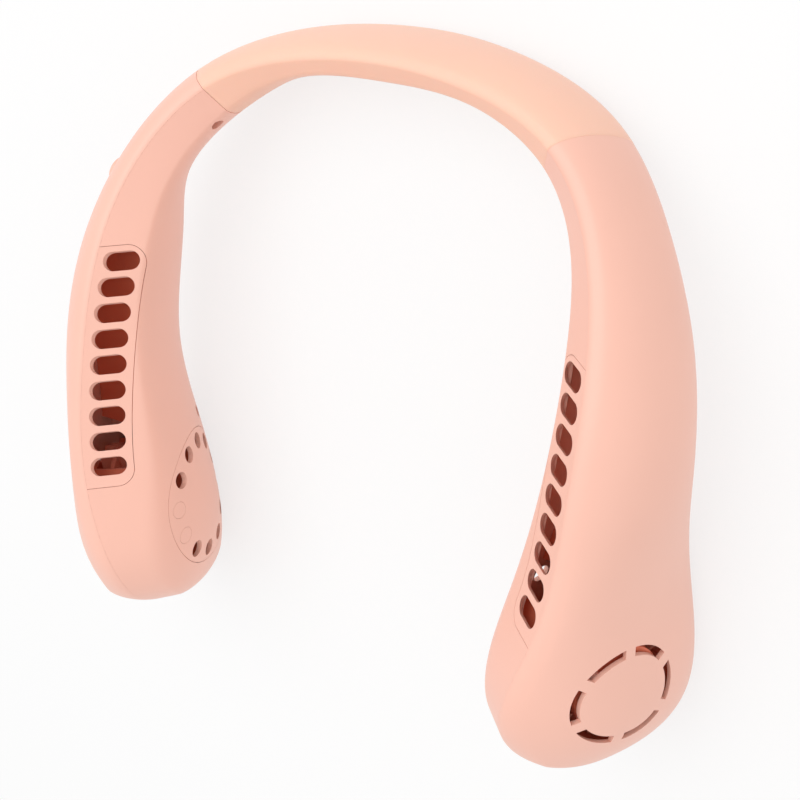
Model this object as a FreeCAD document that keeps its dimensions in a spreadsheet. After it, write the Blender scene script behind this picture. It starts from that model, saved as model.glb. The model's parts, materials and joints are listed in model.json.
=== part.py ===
import FreeCAD, Part
import Sketcher
import math
import os
from FreeCAD import Placement, Rotation, Vector

# Wearable neck fan: a U that lies on its feet, +Z up, the band at +Y and the two pods at -Y.
# The right arm (+X) is modelled and the left arm is its mirror image, with the controls added.

document = FreeCAD.newDocument("neck_fan")
sheet = document.addObject("Spreadsheet::Sheet", "sizes")

# Upright sections of the U, from the middle of the band to the front of a pod.
# The ridge is the corner on top, rounded by the crest radius, the foot is the lowest point,
# and turn is the outward heading.
SECTION_FIELDS = (
    "ridge_x", "ridge_y", "ridge_z", "lean", "foot", "bulge", "belly", "face", "turn", "crest")
SECTIONS = {
    "back": (0, 83.7, 30.5, 3, 0, 5.5, 6.5, 7, 90, 2.5),
    "quarter": (27.5, 80.7, 31, 2, 1.5, 7, 6, 6, 72, 2.5),
    "junction": (52, 70.7, 34, 1, 3, 8.5, 7, 9.5, 48, 2.5),
    "shoulder": (69.5, 48.2, 43.5, 5, 14.5, 9.5, 9, 11, 22, 2.8),
    "upper": (75.5, 26.7, 51, 3.5, 13, 15, 9.5, 13.5, 6, 3.1),
    "middle": (77, -7.8, 58, 5.5, 12, 17.5, 11.5, 16.5, 0, 3.4),
    "waist": (74.5, -38.3, 61.5, 11, 4, 15, 20, 19.5, -4, 3.8),
    "pod": (67, -64.3, 61.5, 16, 0.3, 25, 25.5, 13.5, -10, 5),
    "front": (66.5, -79.8, 54, 8, 2.5, 20, 14.5, 14, -14, 8),
}

SIZES = {
    # shells
    "outer_slope": -14, "outlet_slope": 222, "nose_length": 8.6, "nose_drop": 2.5, "wall": 1.8,
    "nose_swell": 0.5, "nose_round": 0.58, "nose_tip": 0.12, "least_crest": 0.4, "crest_spread": 2,
    "outer_reach": 1.2, "brow_reach": 0.6,
    "seam_gap": 0.03, "fit_gap": 0.15, "seat_gap": 0.12,
    # plane where an arm meets the band
    "seam_turn": 44, "seam_lean": 19, "end_wall": 2,
    # outlet grille
    "slot_count": 9, "slot_pitch": 7.45, "slot_length": 10.2, "slot_width": 5.5, "slot_offset": 9,
    "slot_turn": -7, "draw_inward": 3, "draw_back": 25, "grille_shift": 0.5, "grille_plate": 1.2,
    "grille_margin_back": 1.9, "grille_margin_front": 3.3, "grille_width": 16.2, "grille_corner": 5,
    "flange_width": 1.6, "flange_thickness": 1.2, "flange_inside": 0.5, "flange_step": 0.4,
    "grille_cut": 6,
    # pod axis and its intakes
    "axis_turn": -9.5, "axis_rise": 25.5, "axis_out": 5, "axis_back": 8, "axis_lift": 2,
    "ring_breadth": 13.9, "ring_height": 16.1, "ring_width": 2.5, "ring_slots": 6, "ring_bridge": 3.2,
    "ring_turn": 4, "ring_reach": 8,
    "cover_turn": -11.7, "cover_rise": 20.5, "cover_back": 0.5, "cover_drop": 0.75, "cover_radius": 20.6,
    "hole_count": 12, "hole_radius": 2.5, "hole_circle": 16.8, "hole_turn": 26.4,
    # fan and motor
    "seat_depth": 3.5, "bracket_radius": 12.6, "bracket_thickness": 1.5,
    "motor_radius": 8.5, "motor_height": 8.5, "motor_nose_radius": 2.6, "motor_nose": 1,
    "shaft_radius": 1, "shaft_gap": 0.05, "shaft_end_gap": 0.5, "motor_base": 1.2,
    "cup_gap": 0.8, "cup_wall": 1.2, "cup_top_gap": 0.6, "cup_top": 1.5, "cup_skirt": 2.2,
    "hub_radius": 3, "hub_height": 3.5, "plate_thickness": 1.2, "plate_height": 4.5,
    "impeller_radius": 17.5, "blade_count": 18, "blade_thickness": 0.8,
    "scroll_gap": 2.5, "scroll_wall": 1.2, "scroll_mouth": 30,
    "boss_circle": 10.4, "boss_radius": 2.1, "motor_screw_count": 3,
    "small_shank": 0.8, "small_head": 1.5, "small_head_height": 0.6, "small_depth": 1.8,
    # case screws
    "post_radius": 3.2, "screw_head": 1.6, "screw_head_height": 1.6, "screw_shank": 0.9, "screw_length": 9,
    "screw_sink": 3, "sink_radius": 1.8, "shank_gap": 0.15,
    "upper_screw_back": 9.5, "upper_screw_height": 26.5, "lower_screw_back": 4.5, "lower_screw_drop": 43.5,
    # battery and duct
    "cell_radius": 7.1, "cell_length": 44, "cell_lift": 2.4, "cell_nub": 2.6, "cell_nub_height": 1,
    "cell_shift": 2, "cradle_spread": 13, "cradle_thickness": 2, "cell_gap": 0.2,
    "floor_height": 21, "floor_thickness": 1.2, "floor_front": 26, "floor_back": 33,
    # band core
    "anchor_length": 18, "anchor_thickness": 6.4, "anchor_height": 13, "anchor_drop": 1,
    "anchor_flange": 1.5, "anchor_lip": 0.8,
    "strip_thickness": 0.8, "strip_height": 7, "cable_radius": 1.1, "cable_drop": 5,
    "strip_end": 7, "cable_end": 14, "cable_gap": 0.3,
    # controls in the left arm
    "control_shift": 0.42, "control_height": 31, "button_radius": 4.2, "button_gap": 0.3,
    "button_rise": 0.7, "button_round": 0.4, "button_flange": 1, "button_flange_height": 0.9,
    "button_travel": 0.7,
    "switch_gap": 0.4, "switch_size": 5.2, "switch_height": 1.6,
    "plunger_radius": 1.2, "plunger_height": 0.9, "board_length": 27, "board_width": 17,
    "board_thickness": 1.2, "board_drop": 2.5, "board_post": 1.9, "board_post_spread": 10.5,
    "light_radius": 0.8, "light_count": 4, "light_pitch": 3.6, "light_drop": 6.65, "light_gap": 0.1,
    "usb_width": 8.94, "usb_thickness": 3.2, "usb_depth": 7.3, "usb_corner": 1.4, "usb_wall": 0.35,
    "usb_mouth": 0.5, "usb_tongue": 0.7, "usb_gap": 0.25,
}

for section_name, numbers in SECTIONS.items():
    for field, number in zip(SECTION_FIELDS, numbers):
        SIZES[section_name + "_" + field] = number
for row, (alias, number) in enumerate(SIZES.items(), start=1):
    sheet.set("A%d" % row, alias)
    sheet.set("B%d" % row, str(number))
    sheet.setAlias("B%d" % row, alias)
document.recompute()


class Size:
    """A number together with the sheet expression that it comes from."""

    def __init__(self, number, text):
        self.number = number
        self.text = text

    def joined(self, other, sign, number):
        text = other.text if isinstance(other, Size) else repr(other)
        return Size(number, "(%s %s %s)" % (self.text, sign, text))

    def __add__(self, other):
        return self.joined(other, "+", self.number + plain(other))

    def __sub__(self, other):
        return self.joined(other, "-", self.number - plain(other))

    def __mul__(self, other):
        return self.joined(other, "*", self.number * plain(other))

    def __truediv__(self, other):
        return self.joined(other, "/", self.number / plain(other))


def plain(value):
    return value.number if isinstance(value, Size) else value


def cell(alias):
    return Size(float(sheet.get(alias)), "sizes." + alias)


def measured(length):
    return Size(length, "%.6f" % length)


def num(alias):
    return float(sheet.get(alias))


def angle(alias):
    return math.radians(num(alias))


# Document objects with their sizes bound to the sheet

def formed(name, shape):
    item = document.addObject("Part::Feature", name)
    item.Shape = shape
    return item


def box(name, length, width, height, where):
    item = document.addObject("Part::Box", name)
    for prop, size in (("Length", length), ("Width", width), ("Height", height)):
        item.setExpression(prop, size.text)
    item.Placement = where
    return item


def cylinder(name, radius, height, where):
    item = document.addObject("Part::Cylinder", name)
    item.setExpression("Radius", radius.text)
    item.setExpression("Height", height.text)
    item.Placement = where
    return item


def fuse(name, *items):
    item = document.addObject("Part::MultiFuse", name)
    item.Shapes = list(items)
    return item


def cut(name, base, *tools):
    item = document.addObject("Part::Cut", name)
    item.Base = base
    item.Tool = tools[0] if len(tools) == 1 else fuse(name + "_tools", *tools)
    return item


def common(name, first, second):
    item = document.addObject("Part::Common", name)
    item.Base = first
    item.Tool = second
    return item


def group(name, *items):
    item = document.addObject("Part::Compound", name)
    item.Links = list(items)
    return item


def mirror(name, source):
    item = document.addObject("Part::Mirroring", name)
    item.Source = source
    item.Normal = Vector(1, 0, 0)
    item.Base = Vector(0, 0, 0)
    return item


def frame(point, x_axis, z_axis):
    return Placement(point, Rotation(x_axis, z_axis.cross(x_axis), z_axis, "ZXY"))


# Bodies drawn with sketches

def new_sketch(body, role, name):
    sketch = body.newObject("Sketcher::SketchObject", name)
    origin = [item for item in body.Origin.OriginFeatures if item.Role == role]
    sketch.AttachmentSupport = [(origin[0], "")]
    sketch.MapMode = "FlatFace"
    return sketch


def pin(sketch, kind, axis, geo, size):
    if plain(size) == 0:
        sketch.addConstraint(Sketcher.Constraint("PointOnObject", geo, 1, axis))
        return
    index = sketch.addConstraint(Sketcher.Constraint(kind, -1, 1, geo, 1, plain(size)))
    sketch.setExpression("Constraints[%d]" % index, size.text)


def outline(sketch, corners):
    points = [Vector(plain(x), plain(y), 0) for x, y in corners]
    total = len(points)
    for i in range(total):
        sketch.addGeometry(Part.LineSegment(points[i], points[(i + 1) % total]))
    for i in range(total):
        sketch.addConstraint(Sketcher.Constraint("Coincident", i, 2, (i + 1) % total, 1))
    for i, (x, y) in enumerate(corners):
        pin(sketch, "DistanceX", -2, i, x)
        pin(sketch, "DistanceY", -1, i, y)


def turned(name, corners, where):
    """A body turned about its own Z axis from a (radius, height) outline."""
    body = document.addObject("PartDesign::Body", name)
    sketch = new_sketch(body, "XZ_Plane", name + "_outline")
    outline(sketch, corners)
    turn = body.newObject("PartDesign::Revolution", name + "_turn")
    turn.Profile = sketch
    turn.ReferenceAxis = (sketch, ["V_Axis"])
    turn.Angle = 360
    body.Placement = where
    document.recompute()
    return body


def circle_at(sketch, x, radius):
    index = sketch.addGeometry(Part.Circle(Vector(plain(x), 0, 0), Vector(0, 0, 1), plain(radius)))
    sketch.addConstraint(Sketcher.Constraint("PointOnObject", index, 3, -1))
    if plain(x) == 0:
        sketch.addConstraint(Sketcher.Constraint("PointOnObject", index, 3, -2))
    else:
        place = sketch.addConstraint(Sketcher.Constraint("DistanceX", -1, 1, index, 3, plain(x)))
        sketch.setExpression("Constraints[%d]" % place, x.text)
    ring = sketch.addConstraint(Sketcher.Constraint("Radius", index, plain(radius)))
    sketch.setExpression("Constraints[%d]" % ring, radius.text)


# Section curves

def inset_corners(corners, depth):
    sides = []
    for (ax, ay), (bx, by) in zip(corners, corners[1:] + corners[:1]):
        length = math.hypot(bx - ax, by - ay)
        dx, dy = (bx - ax) / length, (by - ay) / length
        sides.append((ax + dy * depth, ay - dx * depth, dx, dy))
    moved = []
    for i in range(len(sides)):
        x1, y1, dx1, dy1 = sides[i - 1]
        x2, y2, dx2, dy2 = sides[i]
        along = ((x2 - x1) * dy2 - (y2 - y1) * dx2) / (dx1 * dy2 - dy1 * dx2)
        moved.append((x1 + along * dx1, y1 + along * dy1))
    return moved


def between(a, b, share):
    return tuple(u + (v - u) * share for u, v in zip(a, b))


def later_part(poles, share):
    """Poles of a Bezier curve from a share of its length on, split off by halving its sides."""
    kept = []
    while poles:
        kept.insert(0, poles[-1])
        poles = [between(a, b, share) for a, b in zip(poles, poles[1:])]
    return kept


def section_poles(name, depth):
    """Seam, two crest poles, crown, two outer poles, foot, two inner poles and the outlet face's end."""
    top, foot, lean = num(name + "_ridge_z"), num(name + "_foot"), num(name + "_lean")
    bulge, belly, face = num(name + "_bulge"), num(name + "_belly"), num(name + "_face")
    outer, outlet = angle("outer_slope"), angle("outlet_slope")
    reach = num("outer_reach") * bulge
    ridge = (0, top)
    shoulder = (reach * math.cos(outer), top + reach * math.sin(outer))
    heel, toe = (lean + bulge, foot), (lean - belly, foot)
    edge = (face * math.cos(outlet), top + face * math.sin(outlet))
    length = face + num("brow_reach") * belly
    brow = (length * math.cos(outlet), top + length * math.sin(outlet))
    corners = [ridge, shoulder, heel, toe, brow]
    if depth:
        corners = inset_corners(corners, depth)
        edge = (edge[0] - depth * math.sin(outlet), edge[1] + depth * math.cos(outlet))
    ridge, shoulder, heel, toe, brow = corners
    foot_point = (lean, foot + depth)
    turn = outer - outlet + math.pi
    crest = max(num(name + "_crest") - depth, num("least_crest"))
    near = crest * math.tan(abs(turn) / 2)
    far = near * num("crest_spread")
    share = far / (3 * math.hypot(shoulder[0] - ridge[0], shoulder[1] - ridge[1]))
    crown, cheek, heel, foot_point = later_part([ridge, shoulder, heel, foot_point], share)
    seam = (ridge[0] + near * math.cos(outlet), ridge[1] + near * math.sin(outlet))
    pull = 4 / 3 * math.tan(abs(turn) / 4) * crest / near
    return [seam, between(seam, ridge, pull), between(crown, ridge, pull), crown, cheek, heel, foot_point,
            toe, brow, edge]


def in_space(name, pole, side):
    turn = angle(name + "_turn")
    x = num(name + "_ridge_x") + pole[0] * math.cos(turn)
    return Vector(side * x, num(name + "_ridge_y") + pole[0] * math.sin(turn), pole[1])


def bezier(poles):
    curve = Part.BezierCurve()
    curve.setPoles(poles)
    return curve.toShape()


SEAM, CROWN, FOOT, TOE, EDGE = 0, 3, 6, 7, 9


def off_seam(poles):
    """The same poles with the seam and the foot drawn back from the parting line."""
    moved = list(poles)
    moved[SEAM] = poles[SEAM] + (poles[EDGE] - poles[SEAM]).normalize() * num("seam_gap")
    moved[FOOT] = poles[FOOT] + (poles[TOE] - poles[FOOT]).normalize() * num("seam_gap")
    return moved


def half_edges(poles, kind):
    """Poles of the edges round the whole section, or round its half outside or inside the parting line."""
    if kind == "inner":
        poles = off_seam(poles)
    seam, foot, edge = poles[SEAM], poles[FOOT], poles[EDGE]
    crest, outer, inner = poles[SEAM:CROWN + 1], poles[CROWN:FOOT + 1], poles[FOOT:EDGE + 1]
    if kind == "outer":
        return [crest, outer, [foot, seam]]
    if kind == "inner":
        return [inner, [edge, seam], [seam, foot]]
    return [crest, outer, inner, [edge, seam]]


def wall_edges(poles, under, kind):
    """Poles of the edges round one shell's wall, between a section and the same section set in."""
    skin, lining = half_edges(poles, kind), half_edges(under, kind)
    seam, seam_in = skin.pop(), lining.pop()
    back = [edge[::-1] for edge in lining[::-1]]
    return skin + [[seam[0], seam_in[0]]] + back + [[seam_in[1], seam[1]]]


def stations(depth):
    """Poles of the sections from the left front, round the band, to the right front."""
    names = list(SECTIONS)
    order = [(name, -1) for name in names[:0:-1]] + [(name, 1) for name in names]
    return [[in_space(name, pole, side) for pole in section_poles(name, depth)] for name, side in order]


# Distance of each section along the U, as the mean way that its poles go
marks = [0.0]
surface_stations = stations(0)
for before, after in zip(surface_stations, surface_stations[1:]):
    marks.append(marks[-1] + sum((b - a).Length for a, b in zip(before, after)) / len(after))
BACK = len(SECTIONS) - 1
FRONT = len(marks) - 1


def rail(points):
    """Smooth curve along the U through one pole of every section."""
    curve = Part.BSplineCurve()
    curve.interpolate(Points=list(points), Parameters=marks)
    return curve


def spline_face(rails):
    """Surface whose section is the Bezier curve on a row of rails."""
    first, order = rails[0], len(rails)
    poles = [[curve.getPole(i) for curve in rails] for i in range(1, first.NbPoles + 1)]
    surface = Part.BSplineSurface()
    surface.buildFromPolesMultsKnots(
        poles, first.getMultiplicities(), [order, order], first.getKnots(), [0, 1],
        False, False, first.Degree, order - 1)
    return surface.toShape()


def swept(edge_rows, first, last):
    """Faces on the edges of the sections, from one section to another."""
    faces = []
    for edges in zip(*edge_rows):
        rails = [rail(points) for points in zip(*edges)]
        for curve in rails:
            curve.segment(marks[first], marks[last])
        faces.append(spline_face(rails))
    return faces


def domed(edge_rows):
    """Faces on four rows of poles that close the nose."""
    faces = []
    for edges in zip(*edge_rows):
        rails = []
        for points in zip(*edges):
            curve = Part.BezierCurve()
            curve.setPoles(list(points))
            rails.append(curve.toBSpline())
        faces.append(spline_face(rails))
    return faces


def flat(edges):
    return Part.Face(Part.Wire([bezier(edge) for edge in edges]))


def closed(name, faces):
    solid = Part.makeSolid(Part.makeShell(faces))
    if solid.Volume < 0:
        solid.reverse()
    return formed(name, solid)


def nose_rows(depth):
    """Four rows of poles that carry the front section round into a flat tip."""
    length = num("nose_length") - depth
    outer = surface_stations[FRONT]
    centre = (outer[SEAM] + outer[FOOT]) * 0.5
    turn = angle("front_turn")
    ahead = Vector(math.sin(turn), -math.cos(turn), 0) * length - Vector(0, 0, num("nose_drop"))
    poles = []
    for points in zip(*stations(depth)):
        start, heading = rail(points).getD1(marks[FRONT])
        arm = start - centre
        poles.append((start, start + heading * (num("nose_swell") * length),
                      centre + ahead + arm * num("nose_round"), centre + ahead + arm * num("nose_tip")))
    return [list(row) for row in zip(*poles)]


def half_form(name, kind, depth):
    """Solid arm, or half of it, set in by a depth."""
    edge_rows = [half_edges(poles, kind) for poles in stations(depth)]
    nose = [half_edges(poles, kind) for poles in nose_rows(depth)]
    ends = [flat(edge_rows[BACK]), flat(nose[-1])]
    return closed(name, swept(edge_rows, BACK, FRONT) + domed(nose) + ends)


def wall_form(name, kind, top, bottom):
    """Layer of the arm between two depths, as far as the front section."""
    pairs = zip(stations(top), stations(bottom))
    edge_rows = [wall_edges(poles, under, kind) for poles, under in pairs]
    return closed(name, swept(edge_rows, BACK, FRONT) + [flat(edge_rows[BACK]), flat(edge_rows[FRONT])])


def shell_form(name, kind, depth):
    """Wall of one shell, with its nose."""
    edge_rows = [wall_edges(poles, under, kind) for poles, under in zip(stations(0), stations(depth))]
    skin, lining = nose_rows(0), nose_rows(depth)
    nose = [wall_edges(poles, under, kind) for poles, under in zip(skin, lining)]
    tip, tip_in = half_edges(skin[-1], kind), half_edges(lining[-1], kind)
    seam = Part.makeRuledSurface(bezier(tip[-1]), bezier(tip_in[-1]))
    return closed(name, swept(edge_rows, BACK, FRONT) + domed(nose) + [
        flat(edge_rows[BACK]), flat(tip), flat(tip_in), seam])


def band_form(name):
    reach = list(SECTIONS).index("shoulder")
    edge_rows = [half_edges(poles, "full") for poles in surface_stations]
    ends = [flat(edge_rows[BACK - reach]), flat(edge_rows[BACK + reach])]
    return closed(name, swept(edge_rows, BACK - reach, BACK + reach) + ends)


wall = num("wall")
band_solid = band_form("band_solid")
arm_form = half_form("arm_form", "full", 0)
hollow_form = half_form("hollow_form", "full", wall + num("seat_gap"))
outer_half_form = half_form("outer_half_form", "outer", wall / 2)
inner_half_form = half_form("inner_half_form", "inner", wall / 2)
lip_form = wall_form("lip_form", "inner", wall, wall + num("flange_thickness"))
plate_form = wall_form("plate_form", "inner", 0, wall + num("flange_step"))
room_form = half_form("room_form", "full", num("grille_plate"))
core_form = half_form("core_form", "full", wall + num("flange_thickness"))

# Plane between the right arm and the band
seam_turn, seam_lean = angle("seam_turn"), angle("seam_lean")
seam_flat = Vector(math.sin(seam_turn), -math.cos(seam_turn), 0)
seam_normal = seam_flat * math.cos(seam_lean) + Vector(0, 0, math.sin(seam_lean))
seam_across = Vector(math.cos(seam_turn), math.sin(seam_turn), 0)
seam_point = in_space("junction", (0, num("junction_ridge_z")), 1)
LARGE = 400


def beyond(name, offset):
    """Everything on the arm's side of the seam plane, moved into the arm by an offset."""
    corner = Vector(-LARGE / 2, -LARGE / 2, 0)
    where = frame(seam_point + seam_normal * offset, seam_across, seam_normal)
    block = Part.makeBox(LARGE, LARGE, LARGE, corner)
    block.Placement = where
    right = Part.makeBox(LARGE, LARGE, LARGE, Vector(0.5, -LARGE / 2, -LARGE / 2))
    return formed(name, block.common(right))


arm_side = beyond("arm_side", 0)
arm_inside = beyond("arm_inside", num("end_wall"))
outer_half = common("outer_half", outer_half_form, arm_side)
inner_half = common("inner_half", inner_half_form, arm_side)
outer_wall = common("outer_wall", shell_form("outer_wall_form", "outer", wall), arm_side)
inner_wall = common("inner_wall", shell_form("inner_wall_form", "inner", wall), arm_side)
arm_hollow = common("arm_hollow", hollow_form, arm_inside)
arm_core = common("arm_core", core_form, arm_inside)
arm_full = common("arm_full", arm_form, arm_side)
document.recompute()


def span(item, point, direction):
    """Where a line through a point enters and leaves a solid, as distances along it."""
    line = Part.makeLine(point - direction * 60, point + direction * 60)
    inside = line.common(item.Shape)
    steps = [(vertex.Point - point).dot(direction) for vertex in inside.Vertexes]
    return min(steps), max(steps)


def ahead_of(name):
    turn = angle(name + "_turn")
    return Vector(math.sin(turn), -math.cos(turn), 0)


def outward_of(name):
    turn = angle(name + "_turn")
    return Vector(math.cos(turn), math.sin(turn), 0)


def ridge_of(name):
    return Vector(num(name + "_ridge_x"), num(name + "_ridge_y"), num(name + "_ridge_z"))


UP = Vector(0, 0, 1)


def direction(turn, rise):
    """Unit vector at an outward heading and a rise from the level."""
    turn, rise = angle(turn), angle(rise)
    return Vector(math.cos(rise) * math.cos(turn), math.cos(rise) * math.sin(turn), math.sin(rise))


# Pod axis, pointing outward, and the frame that the motor stands on
axis = direction("axis_turn", "axis_rise")
axis_ahead = axis.cross(UP).normalize()
pod_centre = ridge_of("pod") + outward_of("pod") * num("axis_out") - ahead_of("pod") * num("axis_back")
pod_centre.z = (num("pod_ridge_z") + num("pod_foot")) / 2 + num("axis_lift")
wall_in, wall_out = span(arm_full, pod_centre, axis)
hollow_in, hollow_out = span(arm_hollow, pod_centre, axis)


def on_axis(step, reverse=False):
    facing = axis * -1 if reverse else axis
    return frame(pod_centre + axis * step, axis_ahead, facing)


seat = hollow_out - num("seat_depth")
stand = on_axis(seat, reverse=True)


def above(height, x=0):
    return stand.multiply(Placement(Vector(x, 0, plain(height)), Rotation()))


# Motor on its bracket
bracket = document.addObject("PartDesign::Body", "bracket")
plate_sketch = new_sketch(bracket, "XY_Plane", "bracket_outline")
circle_at(plate_sketch, 0, cell("bracket_radius"))
plate_pad = bracket.newObject("PartDesign::Pad", "bracket_plate")
plate_pad.Profile = plate_sketch
plate_pad.setExpression("Length", "sizes.bracket_thickness")
document.recompute()
hole_sketch = new_sketch(bracket, "XY_Plane", "bracket_hole")
circle_at(hole_sketch, cell("boss_circle"), cell("small_shank"))
hole_cut = bracket.newObject("PartDesign::Pocket", "bracket_hole_cut")
hole_cut.Profile = hole_sketch
hole_cut.Type = "ThroughAll"
hole_cut.Midplane = True
document.recompute()
hole_ring = bracket.newObject("PartDesign::PolarPattern", "bracket_holes")
hole_ring.Originals = [hole_cut]
hole_ring.Axis = (hole_sketch, ["N_Axis"])
hole_ring.Angle = 360
hole_ring.setExpression("Occurrences", "sizes.motor_screw_count")
bracket.Tip = hole_ring
bracket.Placement = stand
document.recompute()

bracket_top = cell("bracket_thickness")
motor_top = bracket_top + cell("motor_height")
nose_top = motor_top + cell("motor_nose")
bore = cell("shaft_radius") + cell("shaft_gap")
motor = turned("motor", [
    (0, bracket_top), (cell("motor_radius"), bracket_top), (cell("motor_radius"), motor_top),
    (cell("motor_nose_radius"), motor_top), (cell("motor_nose_radius"), nose_top), (bore, nose_top),
    (bore, bracket_top + cell("motor_base")), (0, bracket_top + cell("motor_base"))], stand)

cup_inside = cell("motor_radius") + cell("cup_gap")
cup_outside = cup_inside + cell("cup_wall")
cup_under = nose_top + cell("cup_top_gap")
cup_over = cup_under + cell("cup_top")
hub_over = cup_over + cell("hub_height")
skirt = bracket_top + cell("cup_skirt")
plate_low = skirt + cell("plate_height")
plate_high = plate_low + cell("plate_thickness")
shaft_low = bracket_top + cell("motor_base") + cell("shaft_end_gap")
shaft = turned("shaft", [
    (0, shaft_low), (cell("shaft_radius"), shaft_low), (cell("shaft_radius"), hub_over),
    (0, hub_over)], stand)
impeller = turned("impeller", [
    (cell("shaft_radius"), cup_under), (cup_inside, cup_under), (cup_inside, skirt), (cup_outside, skirt),
    (cup_outside, plate_low), (cell("impeller_radius"), plate_low), (cell("impeller_radius"), plate_high),
    (cup_outside, plate_high), (cup_outside, cup_over), (cell("hub_radius"), cup_over),
    (cell("hub_radius"), hub_over), (cell("shaft_radius"), hub_over)], stand)
blade_sketch = new_sketch(impeller, "XY_Plane", "blade_outline")
outline(blade_sketch, [
    (cup_outside - 0.4, 0), (cell("impeller_radius"), 0),
    (cell("impeller_radius"), cell("blade_thickness")), (cup_outside - 0.4, cell("blade_thickness"))])
blade_sketch.setExpression("AttachmentOffset.Base.z", skirt.text)
blade = impeller.newObject("PartDesign::Pad", "blade")
blade.Profile = blade_sketch
blade.setExpression("Length", (cup_over - skirt).text)
document.recompute()
blade_ring = impeller.newObject("PartDesign::PolarPattern", "blades")
blade_ring.Originals = [blade]
blade_ring.Axis = (blade_sketch, ["N_Axis"])
blade_ring.Angle = 360
blade_ring.setExpression("Occurrences", "sizes.blade_count")
impeller.Tip = blade_ring
document.recompute()

# Motor screws go through the bracket into bosses of the outer shell
boss_turns = [360 / num("motor_screw_count") * i for i in range(int(num("motor_screw_count")))]
bosses = []
pilots = []
small_screws = []
for i, turn in enumerate(boss_turns):
    spin = Placement(Vector(0, 0, 0), Rotation(UP, turn))
    head = stand.multiply(spin).multiply(Placement(Vector(num("boss_circle"), 0, 0), Rotation()))
    foot = head.multiply(Placement(Vector(0, 0, 0), Rotation(Vector(1, 0, 0), 180)))
    boss_height = cell("seat_depth") + cell("wall") * 3
    bosses.append(cylinder("motor_boss_%d" % i, cell("boss_radius"), boss_height, foot))
    pilots.append(cylinder("motor_pilot_%d" % i, cell("small_shank"), cell("small_depth"), foot))
    head.Base = head.Base + axis * num("small_depth")
    small_screws.append(turned("small_screw_%d" % i, [
        (0, 0), (cell("small_shank"), 0),
        (cell("small_shank"), cell("small_depth") + bracket_top),
        (cell("small_head"), cell("small_depth") + bracket_top),
        (cell("small_head"), cell("small_depth") + bracket_top + cell("small_head_height")),
        (0, cell("small_depth") + bracket_top + cell("small_head_height"))], head))
motor_screws = group("motor_screws", *small_screws)

# Case screws: posts across the arm, sunk heads on the inner face
screw_ways = {}
upper_point = ridge_of("junction") + ahead_of("junction") * num("upper_screw_back")
upper_point.z = num("upper_screw_height")
screw_ways["upper"] = (upper_point, (outward_of("junction") + outward_of("shoulder")).normalize())
lower_point = ridge_of("waist") - ahead_of("waist") * num("lower_screw_back")
lower_point.z = num("waist_ridge_z") - num("lower_screw_drop")
screw_ways["lower"] = (lower_point, axis)
posts = []
sinks = []
shanks = []
threads = []
case_screws = {}
for name, (point, way) in screw_ways.items():
    side = way.cross(UP).normalize()
    low, high = span(arm_full, point, way)
    middle = span(outer_half, point, way)[0]
    cavity_end = span(arm_hollow, point, way)[1]
    seat_step = middle - num("screw_sink")
    reach = min(middle + num("screw_length") - num("screw_sink"), cavity_end)
    posts.append(cylinder(name + "_post", cell("post_radius"), cell("post_radius") * 20,
                          frame(point - way * num("post_radius") * 10, side, way)))
    sinks.append(formed(name + "_sink", Part.makeCylinder(
        num("sink_radius"), seat_step - low + 20, point + way * (low - 20), way)))
    shanks.append(formed(name + "_shank_hole", Part.makeCylinder(
        num("screw_shank") + num("shank_gap"), middle + num("screw_head") - low, point + way * low, way)))
    threads.append(formed(name + "_thread", Part.makeCylinder(
        num("screw_shank"), reach - low, point + way * low, way)))
    head = Part.makeCylinder(num("screw_head"), num("screw_head_height"),
                             point + way * (seat_step - num("screw_head_height")), way)
    cross = Part.makeBox(num("screw_head") * 1.2, num("screw_head") * 0.3, num("screw_head_height"),
                         Vector(-num("screw_head") * 0.6, -num("screw_head") * 0.15, 0))
    cross = cross.fuse(cross.rotated(Vector(0, 0, 0), UP, 90))
    cross_at = point + way * (seat_step - num("screw_head_height") * 1.5)
    cross.Placement = frame(cross_at, side, way).multiply(cross.Placement)
    shank = Part.makeCylinder(num("screw_shank"), reach - seat_step, point + way * seat_step, way)
    case_screws[name] = formed(name + "_case_screw", head.cut(cross).fuse(shank))

# Battery cell, its cradles and the duct floor above it
cell_axis = (ridge_of("waist") - ridge_of("upper"))
cell_axis.z = 0
cell_axis.normalize()
cell_out = cell_axis.cross(UP) * -1
cell_middle = ridge_of("middle") - cell_axis * num("cell_shift")
cell_middle.z = num("middle_foot") + num("wall") + num("cell_lift") + num("cell_radius")
near, far = span(arm_hollow, cell_middle, cell_out)
cell_middle = cell_middle + cell_out * ((near + far) / 2)
cell_start = cell_middle - cell_axis * (num("cell_length") / 2)
battery = turned("battery", [
    (0, 0), (cell("cell_radius"), 0), (cell("cell_radius"), cell("cell_length") - cell("cell_nub_height")),
    (cell("cell_nub"), cell("cell_length") - cell("cell_nub_height")),
    (cell("cell_nub"), cell("cell_length")), (0, cell("cell_length"))], frame(cell_start, UP, cell_axis))
cell_bed = cylinder("cell_bed", cell("cell_radius") + cell("cell_gap"), cell("cell_length"),
                    frame(cell_start, UP, cell_axis))
floor_level = num("middle_foot") + num("floor_height")
cradles = []
for name, step in (("back", -num("cradle_spread")), ("front", num("cradle_spread"))):
    corner = cell_middle + cell_axis * (step - num("cradle_thickness") / 2) - cell_out * (LARGE / 8)
    corner.z = 0
    plate = Part.makeBox(LARGE / 4, num("cradle_thickness"), floor_level)
    plate.Placement = frame(corner, cell_out, UP)
    cradles.append(formed(name + "_cradle", plate))
floor_corner = ridge_of("middle") + cell_axis * num("floor_front") - cell_out * (LARGE / 8)
floor_corner.z = floor_level
floor_plate = Part.makeBox(LARGE / 4, num("floor_front") + num("floor_back"), num("floor_thickness"))
floor_plate.Placement = frame(floor_corner, cell_out, UP)
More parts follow.
